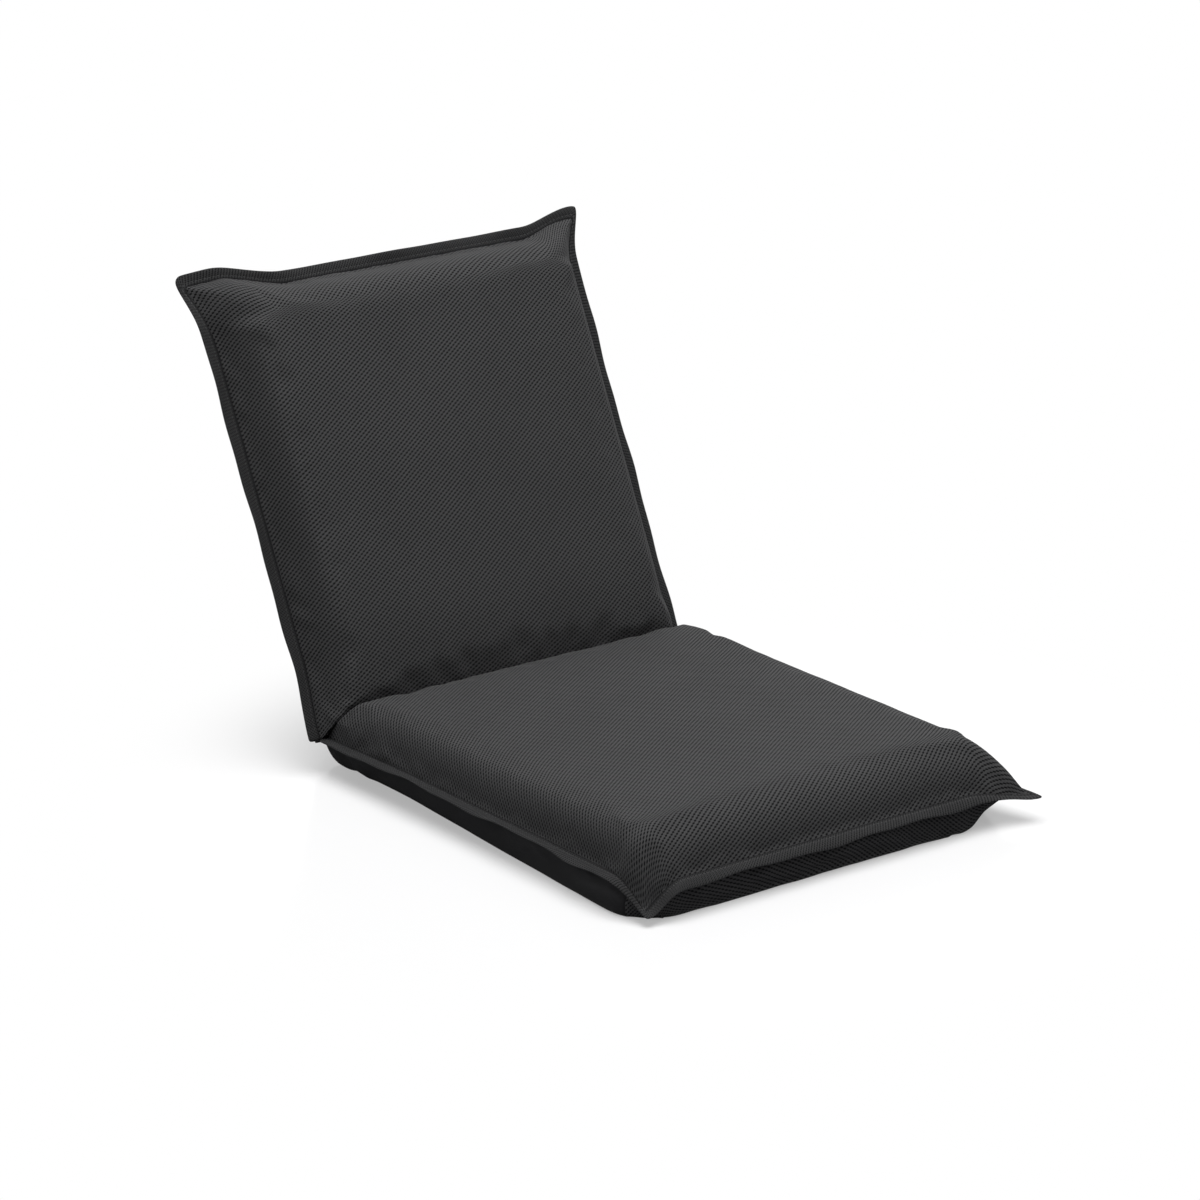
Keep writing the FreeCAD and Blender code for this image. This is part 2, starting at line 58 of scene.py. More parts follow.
chair = {
    "tipAcross": 0.204,         # half the seam's width at the ears
    "seamDraw": 0.009,          # how far the filling draws the seam in between the ears
    "sideFlare": 0.013,         # how far the side seams run out again at the ears, over this way
    "earRun": 0.065,
    "hemWidth": 0.011,
    "clothThickness": 0.0016,
    "seatLength": 0.468,
    "backLength": 0.422,
    "topDraw": 0.006,
    "leftLobe": 0.014,          # how much fuller the back's ears stand than its middle,
    "leftLobeRun": (0.105, 0.178),      # and from where to where they grow
    "rightLobe": 0.010,
    "rightLobeRun": (0.148, 0.200),
    "bendReach": 0.052,         # how far from the hinge axis the soft pieces would bend with the back
}


def placeSeat(points):
    # half a turn about the vertical, then out to the hinge axis
    return points * np.array([-1.0, -1.0, 1.0]) + hingeAxis


def placeBack(points):
    # tilted about x by the photographed angle, then out to the hinge axis
    x, y, z = points[..., 0], points[..., 1], points[..., 2]
    tilted = np.stack([x, y * np.cos(tilt) - z * np.sin(tilt), y * np.sin(tilt) + z * np.cos(tilt)], axis=-1)
    return tilted + hingeAxis


def smooth(low, high, value):
    share = np.clip((value - low) / (high - low), 0, 1)
    return share * share * (3 - 2 * share)


# Mesh building: every surface is a grid of points worked out as whole arrays

def gridFaces(rows, columns, start=0, loop=False):
    # corner numbers of each quad in a grid whose points run column by column along each row;
    # a looped grid closes from its last column to its first
    row, column = np.meshgrid(np.arange(rows - 1), np.arange(columns if loop else columns - 1), indexing="ij")
    after = (column + 1) % columns
    corners = np.stack([row * columns + column, row * columns + after,
                        (row + 1) * columns + after, (row + 1) * columns + column], axis=-1)
    return corners.reshape(-1, 4) + start


def faceOut(points, faces, inside):
    # turns every face round if, taken together, they look towards the point inside
    corners = points[faces]
    normal = np.cross(corners[:, 2] - corners[:, 0], corners[:, 3] - corners[:, 1])
    outward = np.sum(normal * (corners.mean(axis=1) - inside))
    return faces if outward > 0 else faces[:, ::-1]


def tubeFaces(points, centre, start=0):
    # faces and two end caps of a tube, whose rings of points lie round the given centres, all
    # turned outwards; start is the number of its first point in the whole mesh
    rows, columns = points.shape[:2]
    faces = gridFaces(rows, columns, loop=True)
    corners = points.reshape(-1, 3)[faces]
    normal = np.cross(corners[:, 2] - corners[:, 0], corners[:, 3] - corners[:, 1])
    outward = np.sum(normal * (corners.mean(axis=1) - centre[faces[:, 0] // columns]))
    caps = [np.arange(columns), (rows - 1) * columns + np.arange(columns)[::-1]]
    if outward < 0:
        faces = faces[:, ::-1]
    else:
        caps = [cap[::-1] for cap in caps]
    return faces + start, [cap + start for cap in caps]


def makePiece(name, points, faces, finish, uv=None, caps=()):
    mesh = bpy.data.meshes.new(name)
    mesh.from_pydata(points.reshape(-1, 3).tolist(), [], faces.tolist() + [list(cap) for cap in caps])
    if uv is not None:
        layer = mesh.uv_layers.new(name="cloth")
        loops = np.zeros(len(mesh.loops), dtype=np.int32)
        mesh.loops.foreach_get("vertex_index", loops)
        layer.data.foreach_set("uv", uv.reshape(-1, 2)[loops].astype(np.float32).ravel())
    mesh.polygons.foreach_set("use_smooth", np.ones(len(mesh.polygons), dtype=bool))
    mesh.update()
    piece = bpy.data.objects.new(name, mesh)
    bpy.context.scene.collection.objects.link(piece)
    piece.data.materials.append(finish)
    return piece


def rounded(piece):
    layer = piece.modifiers.new("rounding", "SUBSURF")
    layer.levels = layer.render_levels = 1


def thickened(piece, thickness):
    wall = piece.modifiers.new("cloth", "SOLIDIFY")
    wall.thickness = thickness
    wall.offset = -1


def bendsWithBack(piece):
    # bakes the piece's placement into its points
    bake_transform(piece)


# Shader maths

class Signal:
    # a socket's value, so that sums, products and powers read as they are written
    def __init__(self, finish, socket):
        self.finish = finish
        self.socket = socket

    def calc(self, operation, *others):
        values = {index: value for index, value in enumerate((self,) + others)}
        return self.finish.add("ShaderNodeMath", {"operation": operation}, values)

    def __add__(self, other):
        return self.calc("ADD", other)

    def __sub__(self, other):
        return self.calc("SUBTRACT", other)

    def __rsub__(self, other):
        return (self * -1) + other

    def __mul__(self, other):
        return self.calc("MULTIPLY", other)

    __radd__ = __add__

    def cos(self):
        return self.calc("COSINE")

    def between(self, low, high):
        # a smooth step from 0 at low to 1 at high
        return self.finish.add("ShaderNodeMapRange", {"interpolation_type": "SMOOTHSTEP"},
                               {"Value": self, "From Min": low, "From Max": high})


def shaded(colour, factor):
    return [value * factor for value in colour]


class Finish:
    def __init__(self, name, roughness=0.8, metallic=0.0, specular=0.5, sheen=0.0):
        self.material = bpy.data.materials.new(name)
        self.material.use_nodes = True
        self.tree = self.material.node_tree
        self.shader = self.tree.nodes["Principled BSDF"]
        self.set("Roughness", roughness)
        self.set("Metallic", metallic)
        self.set("Specular IOR Level", specular)
        self.set("Sheen Weight", sheen)
        self.set("Sheen Roughness", 0.35)

    def add(self, kind, settings, values, output=0):
        node = self.tree.nodes.new(kind)
        for name, value in settings.items():
            setattr(node, name, value)
        for key, value in values.items():
            self.give(node.inputs[key], value)
        return Signal(self, node.outputs[output])

    def give(self, socket, value):
        if isinstance(value, Signal):
            self.tree.links.new(value.socket, socket)
        else:
            socket.default_value = value

    def set(self, name, value):
        self.give(self.shader.inputs[name], value)

    def mix(self, share, first, second):
        # between two colours
        node = self.tree.nodes.new("ShaderNodeMix")
        node.data_type = "RGBA"
        self.give(node.inputs[0], share)
        for socket, value in ((node.inputs[6], first), (node.inputs[7], second)):
            self.give(socket, value if isinstance(value, Signal) else (*value, 1))
        return Signal(self, node.outputs[2])

    def noise(self, scale, detail):
        values = {"Scale": scale, "Detail": detail, "Vector": self.objectPlace()}
        return self.add("ShaderNodeTexNoise", {}, values)

    def objectPlace(self):
        return self.add("ShaderNodeTexCoord", {}, {}, output="Object")

    def clothPlace(self):
        # distances across and along the cloth, in metres, from the piece's own UV map
        place = self.add("ShaderNodeUVMap", {"uv_map": "cloth"}, {})
        across = self.add("ShaderNodeSeparateXYZ", {}, {0: place})
        return across, Signal(self, across.socket.node.outputs[1])

    def bump(self, height, depth, strength):
        normal = self.add("ShaderNodeBump", {}, {"Height": height, "Distance": depth, "Strength": strength})
        self.set("Normal", normal)


def meshCloth(name, thread, paintedHoleShade, cell=0.0058, row=0.00385, depth=0.0005, seam=None):
    # spacer mesh: staggered rows of small cells between rounded threads; the cells are painted near
    # black, painted shade inside the holes. Two slanted waves cross, and a cell lies where both are high;
    # one wave is stronger, so threads lean that way.
    finish = Finish(name, specular=0.12, sheen=0.05)
    across, along = finish.clothPlace()
    over, up = across * (2 * np.pi / cell), along * (2 * np.pi / row)
    lattice = (over - up).cos() * 0.62 + (over + up).cos() * 0.38
    fibre = finish.noise(scale=2600, detail=2.0)
    cells = (lattice + (fibre - 0.5) * 0.5).between(0.02, 0.5)
    patches = finish.noise(scale=14, detail=3.0)
    yarn = finish.mix(patches.between(0.3, 0.7), shaded(thread, 0.93), shaded(thread, 1.07))
    # painted highlight: scattered fibres are 1.5 times lighter, as if catching the light
    lit = finish.mix(fibre.between(0.35, 0.75), yarn, shaded(thread, 1.5))
    # painted shade: where the cells lie, the colour goes near black
    colour = finish.mix(cells, lit, paintedHoleShade)
    if seam:
        # painted shade: the cloth darkens towards the fold where the hem leaves the cushion
        colour = finish.mix((1 - across.between(*seam)) * 0.85, colour, paintedHoleShade)
    finish.set("Base Color", colour)
    finish.set("Roughness", 0.72 + cells * 0.2)
    finish.bump((1 - cells) + fibre * 0.25, depth=depth, strength=0.8)
    return finish.material


def wovenCloth(name, colour, pitch=0.0011):
    # plain weave: two sets of yarns over and under each other, with slubs
    finish = Finish(name, specular=0.12)
    across, along = finish.clothPlace()
    turn = 2 * np.pi / pitch
    over = (across * turn).cos() * (along * turn).cos()
    slub = finish.noise(scale=900, detail=3.0)
    patches = finish.noise(scale=11, detail=3.0)
    yarn = finish.mix(over.between(-0.6, 0.6), shaded(colour, 0.75), shaded(colour, 1.3))
    finish.set("Base Color", finish.mix(patches.between(0.25, 0.75), yarn, shaded(colour, 1.25)))
    finish.set("Roughness", 0.78 + slub * 0.15)
    finish.bump(over * 0.5 + slub * 0.6, depth=0.0002, strength=0.7)
    return finish.material


def foamFinish(name, colour):
    # open cells of many sizes, painted darker inside them as painted shade
    finish = Finish(name, roughness=0.95)
    cells = finish.add("ShaderNodeTexVoronoi", {}, {"Scale": 700.0, "Vector": finish.objectPlace()})
    cloud = finish.noise(scale=40, detail=3.0)
    skin = finish.mix(cloud, colour, shaded(colour, 0.88))
    # painted shade: each cell is 0.6 times as light towards its middle
    finish.set("Base Color", finish.mix(cells.between(0.1, 0.6), shaded(colour, 0.6), skin))
    finish.bump(cells, depth=0.0006, strength=0.9)
    return finish.material


def feltFinish(name, colour):
    # matted fibres
    finish = Finish(name, roughness=0.95)
    fibre = finish.noise(scale=1500, detail=5.0)
    cloud = finish.noise(scale=60, detail=4.0)
    share = (fibre * 0.7 + cloud * 0.3).between(0.3, 0.7)
    finish.set("Base Color", finish.mix(share, shaded(colour, 0.7), shaded(colour, 1.35)))
    finish.bump(fibre, depth=0.0005, strength=0.8)
    return finish.material


def paintedSteel(name, colour, roughness):
    # powder coat: fine orange peel, thinner and shinier on some spots
    finish = Finish(name, roughness=roughness)
    peel = finish.noise(scale=700, detail=2.0)
    wear = finish.noise(scale=35, detail=5.0)
    finish.set("Base Color", finish.mix(wear.between(0.62, 0.72), colour, shaded(colour, 2.2)))
    finish.set("Roughness", roughness + (wear - 0.5) * 0.25)
    finish.bump(peel, depth=0.00008, strength=0.6)
    return finish.material


def bareSteel(name, colour, roughness):
    # plated steel with fine scratches
    finish = Finish(name, metallic=1.0)
    scratch = finish.noise(scale=1800, detail=3.0)
    stain = finish.noise(scale=45, detail=4.0)
    finish.set("Base Color", finish.mix(stain.between(0.35, 0.75), colour, shaded(colour, 0.7)))
    finish.set("Roughness", roughness + scratch * 0.18)
    finish.bump(scratch, depth=0.00003, strength=0.5)
    return finish.material


def nylonFinish(name, colour):
    # drawn filament, flecked where it has been rubbed
    finish = Finish(name, roughness=0.4)
    fleck = finish.noise(scale=1200, detail=2.0)
    finish.set("Base Color", finish.mix(fleck.between(0.3, 0.7), colour, shaded(colour, 1.4)))
    finish.set("Roughness", 0.34 + fleck * 0.15)
    finish.bump(fleck, depth=0.00004, strength=0.5)
    return finish.material


charcoal = (0.050, 0.050, 0.051)
# painted shade: the near-black colour given to the mesh's holes
paintedCellShade = (0.004, 0.004, 0.0045)
finishes = {
    "mesh": meshCloth("mesh cloth", charcoal, paintedCellShade),
    # the hem's cloth carries painted shade along the fold at its seam
    "hem": meshCloth("hem mesh", shaded(charcoal, 0.55), paintedCellShade, cell=0.0040, row=0.0029,
                     depth=0.00025, seam=(0.0028, 0.0060)),
    "lining": wovenCloth("black lining", (0.024, 0.024, 0.025)),
    "thread": nylonFinish("sewing thread", (0.02, 0.02, 0.021)),
    "foam": foamFinish("cushion foam", (0.55, 0.53, 0.45)),
    "felt": feltFinish("grey felt", (0.19, 0.19, 0.20)),
    "tape": wovenCloth("zip tape", (0.010, 0.010, 0.011), pitch=0.0007),
    "coil": nylonFinish("zip nylon", (0.016, 0.016, 0.017)),
    "frame": paintedSteel("frame paint", (0.015, 0.015, 0.016), roughness=0.38),
    "hinge": paintedSteel("hinge paint", (0.02, 0.02, 0.022), roughness=0.45),
    "rivet": bareSteel("plated rivets", (0.56, 0.57, 0.60), roughness=0.28),
    "spring": bareSteel("spring steel", (0.32, 0.33, 0.37), roughness=0.30),
    "zipMetal": paintedSteel("zip lacquer", (0.02, 0.02, 0.021), roughness=0.3),
}
print("finishes made:", len(finishes))


# Cushions. Inset is how far the shoulder stands in from the side seam and nose how far from the
# end seam; a corner share near 1 makes the shoulder's curve round and near 0 makes it sharp.

seatCushion = {"length": chair["seatLength"], "inset": 0.017, "hingeInset": 0.021, "shoulder": 0.0385,
               "crown": 0.042, "sideCorner": 0.50, "sideBulge": 0.14, "nose": 0.036, "noseCorner": 0.40,
               "noseBulge": 0.12, "corner": 0.012, "drop": 0.003, "dropRun": 0.06}
backCushion = {"length": chair["backLength"], "inset": 0.026, "hingeInset": 0.021, "shoulder": 0.038,
               "crown": 0.043, "sideCorner": 0.24, "sideBulge": 0.06, "nose": 0.026, "noseCorner": 0.42,
               "noseBulge": 0.08, "corner": 0.020, "drop": 0.006, "dropRun": 0.07}
seatUnderside = {"length": chair["seatLength"], "inset": -0.011, "hingeInset": 0.017, "shoulder": 0.030,
                 "crown": 0.030, "sideCorner": 0.30, "sideBulge": -0.10, "nose": -0.007, "noseCorner": 0.5,
                 "noseBulge": -0.4, "corner": 0.030, "drop": 0.0, "dropRun": 0.06}
backUnderside = dict(seatUnderside, length=chair["backLength"], inset=0.013, hingeInset=0.021,
                     sideCorner=0.45, sideBulge=0.05, nose=0.012, noseCorner=0.6, noseBulge=0.1)
crease = {"blendRun": 0.06, "underRun": 0.4, "roll": 0.006, "rollRun": 0.010, "foldSteps": 12}
profile = {"wallShare": 0.5, "wallTop": 0.58, "crownPower": 2.2, "cornerPull": 0.75}
weaveGrid = {"side": 12, "middle": 60, "roll": 5, "main": 64, "nose": 14}

# how the stitched cover has settled: each ear moves by its own amounts, the flat frame's x, y and z,
# fading over its reach, and its lower layer rises to the upper one by the share called hollow; each
# cushion also sits a little to one side of its frame
ears = {
    "seat": [{"side": 1, "move": (-0.014, -0.010, -0.023), "reach": 0.060, "hollow": 0.0,
              "flatReach": 0, "hollowReach": 0.060, "bulge": 0.009},
             {"side": -1, "move": (-0.004, 0.004, -0.010), "reach": 0.070, "hollow": 0.90,
              "flatReach": 0.012, "hollowReach": 0.076, "bulge": 0}],
    "back": [{"side": -1, "move": (0.004, 0.000, -0.012), "reach": 0.050, "hollow": 0.4,
              "flatReach": 0, "hollowReach": 0.050},
             {"side": 1, "move": (0.005, 0.001, 0.003), "reach": 0.045, "hollow": 0.4,
              "flatReach": 0, "hollowReach": 0.045}],
}
settling = {"seatAside": -0.004, "backAside": -0.004, "backWiden": 0.010, "asideRun": 0.12,
            "footFlare": 0.005, "footRun": 0.07, "footAcross": (0.1, 0.2), "cutBack": 0.013,
            "depth": 0.030, "looseAt": 0.075, "looseRun": 0.065, "looseLow": 0.7}


def earFlare(beyond, most=chair["seamDraw"]):
    # the seam runs out to its ear with the square of the way along it
    return most * np.clip(beyond / chair["earRun"], 0, 1) ** 2


def seamAcross(y, length, most=chair["sideFlare"]):
    # half the seam's width at a distance from the hinge
    earStart = length - chair["hemWidth"] - chair["earRun"]
    return chair["tipAcross"] - chair["seamDraw"] + earFlare(y - earStart, most)


def seamEnd(x, length):
    # how far out the end seam lies at a distance from the middle; the back's ears are fuller lobes
    tip = length - chair["hemWidth"]
    if length == chair["backLength"]:
        left = chair["leftLobe"] * smooth(*chair["leftLobeRun"], -x)
        right = chair["rightLobe"] * smooth(*chair["rightLobeRun"], x)
        return tip - chair["topDraw"] + left + right
    return tip - chair["seamDraw"] + earFlare(np.abs(x) - (chair["tipAcross"] - chair["earRun"]))


def settle(points, cushion, within=0.0):
    # moves flat points the way the real cover has slipped and its ears have bent; points under the
    # seam move down less and less, and not at all where they lie on the floor. An ear's two layers
    # lie flat together near its tip; what is within the cover starts to flatten a little sooner.
    length = chair[cushion + "Length"]
    moved = points.copy()
    x, y, z = points[..., 0], points[..., 1], points[..., 2]
    for ear in ears[cushion]:
        tip = np.array([ear["side"] * (chair["tipAcross"] + chair["hemWidth"]), length])
        away = np.hypot(x - tip[0], y - tip[1])
        share = smooth(0, 1, 1 - away / ear["reach"])
        under = np.clip(1 + z / settling["depth"], 0, 1) if cushion == "seat" else 1.0
        below = 1 - smooth(ear["flatReach"], ear["hollowReach"], away - within)
        moved[..., 2] -= np.minimum(z, 0) * below * min(1, ear["hollow"] + within)
        if cushion == "seat":
            depth = np.clip(-z / settling["depth"], 0, 1)
            moved[..., 1] -= settling["cutBack"] * np.sin(np.pi / 2 * depth) * below * ear["hollow"]
            # only the cover hangs loose beside an ear, not its filling
            if within == 0:
                loose = smooth(0, 1, 1 - np.abs(away - settling["looseAt"]) / settling["looseRun"])
                bulge = ear["bulge"] * np.sin(np.pi * depth ** settling["looseLow"])
                moved[..., 0] += ear["side"] * bulge * loose
        moved[..., 0] += ear["move"][0] * share
        moved[..., 1] += ear["move"][1] * share
        moved[..., 2] += ear["move"][2] * share * under
    if cushion == "seat":
        moved[..., 0] += settling["seatAside"] * smooth(0, settling["asideRun"], y)
    else:
        moved[..., 0] = moved[..., 0] * (1 + settling["backWiden"] * y / length) \
            + settling["backAside"] * np.clip(1 - y / length, 0, 1)
        moved[..., 0] -= settling["footFlare"] * smooth(*settling["footAcross"], -x) \
            * (1 - smooth(0, settling["footRun"], y))
    return moved


places = {"seat": placeSeat, "back": placeBack}


def edgeProfile(steps, corner, bulge):
    # from the seam, (1, 0), up a leaning, slightly swollen wall and round a shoulder to (0, 1);
    # the wall is straight for its lower part and the shoulder is a quadratic curve
    wallShare, wallTop = profile["wallShare"], profile["wallTop"]
    walk = np.linspace(0, 1, steps + 1)[:-1]
    wall = np.clip(walk / wallShare, 0, 1)
    turn = np.clip((walk - wallShare) / (1 - wallShare), 0, 1)
    leanIn = 1 - (1 - corner) * wallTop
    out = (1 - turn) ** 2 * (1 - (1 - leanIn) * wall) + 2 * turn * (1 - turn) * corner
    up = (1 - turn) ** 2 * wallTop * wall + 2 * turn * (1 - turn) + turn ** 2
    return out, up, bulge * np.sin(np.pi * up)


def cushionSurface(shape, up, shrink=0.0, grid=weaveGrid):
    # Height is the product of two rounded steps, one in from the side seams and one in from the end
    # seam, times a crowned middle. Columns go up one side, across the middle and down the other
    # side. Rows go up out of the crease, along the cushion and down its nose. The end columns and
    # the last row lie on the seam.
    length = shape["length"]
    sideOut, sideUp, sideSwell = edgeProfile(grid["side"], shape["sideCorner"], shape["sideBulge"])
    middle = np.linspace(-1, 1, grid["middle"] + 1)
    flat = np.ones_like(middle)
    across = np.concatenate([-np.ones_like(sideOut), middle, np.ones_like(sideOut)])[None, :]
    out = np.concatenate([sideOut, 0 * flat, sideOut[::-1]])[None, :]
    rise = np.concatenate([sideUp, flat, sideUp[::-1]])[None, :]
    swellOut = np.concatenate([sideSwell, 0 * flat, sideSwell[::-1]])[None, :]

    rollTurn = np.linspace(0, np.pi / 2, grid["roll"] + 1)[:-1] if up > 0 else np.zeros(0)
    noseOut, noseUp, noseSwell = edgeProfile(grid["nose"], shape["noseCorner"], shape["noseBulge"])
    main = np.linspace(0, 1, grid["main"] + 1)
    rollDown = np.concatenate([1 - np.sin(rollTurn), 0 * main, 0 * noseOut])[:, None]
    rollBack = np.concatenate([1 - np.cos(rollTurn), main * 0 + 1, noseOut * 0 + 1])[:, None]
    along = np.concatenate([0 * rollTurn, main, noseOut * 0 + 1])[:, None]
    noseOut = np.concatenate([0 * rollTurn, 0 * main, noseOut[::-1]])[:, None]
    noseSwell = np.concatenate([0 * rollTurn, 0 * main, noseSwell[::-1]])[:, None]
    fall = np.concatenate([rollTurn * 0 + 1, main * 0 + 1, noseUp[::-1]])[:, None]
    noseRow = np.concatenate([rollTurn * 0, main * 0, noseUp * 0 + 1])[:, None] > 0

    crown = 1 - np.abs(across) ** profile["crownPower"]
    full = shape["shoulder"] - shrink + (shape["crown"] - shape["shoulder"]) * crown
    creaseHeight = rise * (full - shape["drop"])
    lean = creaseLean if up > 0 else 0.0
    rollRun = crease["rollRun"] if up > 0 else 0.0
    roll = crease["roll"] * rise * rollDown
    start = creaseHeight * lean + rollRun + shrink
    tip = length - chair["hemWidth"]
    noseStart = tip - chair["seamDraw"] - shape["nose"] - shrink
    yMain = np.where(along > 0, start + (noseStart - start) * along,
                     (creaseHeight - roll) * lean + rollRun * rollBack + shrink)

    # the inset goes over to the hinge's own within a short way on top, and steadily underneath
    if up > 0:
        beyondHinge = smooth(0, crease["blendRun"], yMain)
    else:
        beyondHinge = np.clip(yMain / crease["underRun"], 0, 1)
    inset = shape["inset"] + (shape["hingeInset"] - shape["inset"]) * (1 - beyondHinge)
    square = chair["tipAcross"] - chair["seamDraw"] - inset - shrink
    past = np.clip(yMain - (noseStart - shape["corner"]), 0, shape["corner"])
    shoulderAcross = square - shape["corner"] + np.sqrt(shape["corner"] ** 2 - past ** 2)
    shoulderAcross = shoulderAcross + np.clip(noseOut, 0, 1) * shape["corner"] * profile["cornerPull"]
    reach = noseOut + noseSwell * rise
    out = out + swellOut * fall
    sideY = np.where(noseRow, noseStart + noseOut * (tip - shrink - noseStart), yMain)
    sideAcross = seamAcross(sideY, length) - shrink
    x = across * shoulderAcross + np.sign(across) * out * (sideAcross - shoulderAcross)
    y = np.where(noseRow, noseStart + reach * (seamEnd(x, length) - shrink - noseStart), yMain)

    dip = shape["drop"] * np.clip(1 - (yMain - start) / shape["dropRun"], 0, 1) ** 2
    # where the two rounded steps meet, at the corners, the lower one nearly has its way
    both = rise * fall / np.maximum(rise ** 3 + fall ** 3 - (rise * fall) ** 3, 1e-9) ** (1 / 3)
    z = both * (full - dip) - roll
    return np.stack([x, y, up * z], axis=-1)


def clothUv(points):
    # lengths walked over the surface: out from the middle along each row, and down each column
    # from its first row, so that the weave keeps its size over every edge
    rows, columns = points.shape[:2]
    u, v = np.zeros((rows, columns)), np.zeros((rows, columns))
    u[:, 1:] = np.cumsum(np.linalg.norm(np.diff(points, axis=1), axis=-1), axis=1)
    u -= u[:, columns // 2][:, None]
    v[1:] = np.cumsum(np.linalg.norm(np.diff(points, axis=0), axis=-1), axis=0)
    return np.stack([u, v + points[:1, :, 1]], axis=-1)


blowing = {"frames": 20, "cap": 0.0024, "floorGive": 0.0004,
           "cloth": {"quality": 6, "mass": 0.25, "tension_stiffness": 12, "compression_stiffness": 12,
                     "shear_stiffness": 5, "bending_stiffness": 0.25, "use_pressure": True,
                     "uniform_pressure_force": 2.0, "shrink_min": -0.018, "shrink_max": -0.018,
                     "vertex_group_mass": "held"}}


def blownUp(points, faces):
    # the cover as cloth, a little too large for its held seams, pushed out by the filling: this
    # gives it its puckers. No point moves further than the cap.
    rows, columns = points.shape[:2]
    mesh = bpy.data.meshes.new("blowing")
    mesh.from_pydata(points.reshape(-1, 3).tolist(), [], faces.tolist())
    sheet = bpy.data.objects.new("blowing", mesh)
    bpy.context.scene.collection.objects.link(sheet)
    row, column = np.meshgrid(np.arange(rows), np.arange(columns), indexing="ij")
    border = (row == 0) | (row == rows - 1) | (column == 0) | (column == columns - 1)
    sheet.vertex_groups.new(name="held").add(np.flatnonzero(border).tolist(), 1.0, "REPLACE")
    solver = sheet.modifiers.new("cloth", "CLOTH")
    for name, value in blowing["cloth"].items():
        setattr(solver.settings, name, value)
    solver.settings.effector_weights.gravity = 0
    solver.point_cache.frame_end = blowing["frames"]
    for moment in range(1, blowing["frames"] + 1):
        bpy.context.scene.frame_set(moment)
    blown = sheet.evaluated_get(bpy.context.evaluated_depsgraph_get()).to_mesh()
    coordinates = np.zeros(len(blown.vertices) * 3, dtype=np.float32)
    blown.vertices.foreach_get("co", coordinates)
    bpy.context.scene.frame_set(1)
    bpy.data.objects.remove(sheet)
    move = coordinates.reshape(points.shape).astype(float) - points
    distance = np.linalg.norm(move, axis=-1, keepdims=True)
    return points + move * np.minimum(1, blowing["cap"] / np.maximum(distance, 1e-9))


def makeCover(name, shape, up, cushion, finish, replaced, slotName, opening=None, rows=slice(None)):
    # one panel of the cover, above or below the seam; rows picks part of its grid and opening
    # says which faces are left out
    points = cushionSurface(shape, up)
    uv = clothUv(points)
    points = settle(points, cushion)
    faces = gridFaces(*points.shape[:2])
    place = places[cushion]
    inside = place(np.array([0.0, shape["length"] / 2, 0.0]))
    faces = faceOut(place(points).reshape(-1, 3), faces, inside)
    points = blownUp(points, faces)
    if up < 0:
        points[..., 2] = np.maximum(points[..., 2], -shape["shoulder"] - blowing["floorGive"])
    points, uv = points[rows], uv[rows]
    faces = faceOut(place(points).reshape(-1, 3), gridFaces(*points.shape[:2]), inside)
    if opening is not None:
        faces = faces[~opening(points.reshape(-1, 3)[faces].mean(axis=1))]
    piece = makePiece(name, place(points), faces, finish, uv)
    rounded(piece)
    thickened(piece, chair["clothThickness"])
    if replaced:
        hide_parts(replaced)
    bendsWithBack(piece)


zipPlace = {"along": 0.080, "half": 0.150, "slit": 0.012, "below": -0.028}


def zipOpening(centre):
    # the faces within the slit, on the flat of the lining
    beside = np.abs(centre[:, 1] - zipPlace["along"])
    return (np.abs(centre[:, 0]) < zipPlace["half"]) & (beside < zipPlace["slit"] / 2) \
        & (centre[:, 2] < zipPlace["below"])


# the seat's lower front wall is cut from mesh cloth as well, turned in under the seat by three rows
panelRows = weaveGrid["nose"] + 3
makeCover("seatTopCloth", seatCushion, 1, "seat", finishes["mesh"], "seat_cover_top", "mesh_cloth")
makeCover("seatLining", seatUnderside, -1, "seat", finishes["lining"], "seat_cover_underside", "plain_cloth",
          rows=slice(None, -panelRows))
makeCover("seatFrontPanel", seatUnderside, -1, "seat", finishes["mesh"], None, "mesh_cloth",
          rows=slice(-panelRows - 1, None))
makeCover("backFrontCloth", backCushion, 1, "back", finishes["mesh"], "back_cover_front", "mesh_cloth")
makeCover("backLining", backUnderside, -1, "back", finishes["lining"], "back_cover_rear", "plain_cloth",
          opening=zipOpening)
print("covers made")


def makeFold():
    # the lining's own cross-section, carried round the hinge axis from the seat to the back
    section = cushionSurface(seatUnderside, -1)[0]
    turn = np.linspace(0, tilt, crease["foldSteps"] + 1)[:, None]
    depth = -section[None, :, 2]
    x = -section[None, :, 0] + 0 * turn
    points = np.stack([x, depth * np.sin(turn), -depth * np.cos(turn)], axis=-1) + hingeAxis
    faces = faceOut(points.reshape(-1, 3), gridFaces(*points.shape[:2]), hingeAxis)
    piece = makePiece("foldLining", points, faces, finishes["lining"], clothUv(points))
    rounded(piece)
    thickened(piece, chair["clothThickness"])
    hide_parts("fold_cover")
    bendsWithBack(piece)


makeFold()
print("fold made")


# Hems: a folded double edge round three sides, with stitching along it

hem = {"thickness": 0.0026, "tuck": 0.0025, "stitchAt": 0.26, "stitchDip": 0.5, "stitchWidth": 0.09,
       "plumpAt": 0.35, "plumpHalf": 0.66, "plumpPower": 4, "thinnest": 0.12, "footCut": 0.004,
       "footRun": 0.05, "wave": 0.0012, "longWave": 41, "shortWave": 97, "shortShare": 0.6,
       "phases": (30, 1.3), "waveRise": 1.5, "hang": {"seat": 0.0065, "back": 0.0},
       "hangRun": (-0.03, -0.015), "hangEnd": (0.15, 0.20), "roundShare": 0.3, "roundSteps": 3,
       "sideSteps": 110, "endSteps": 100, "ring": 9}


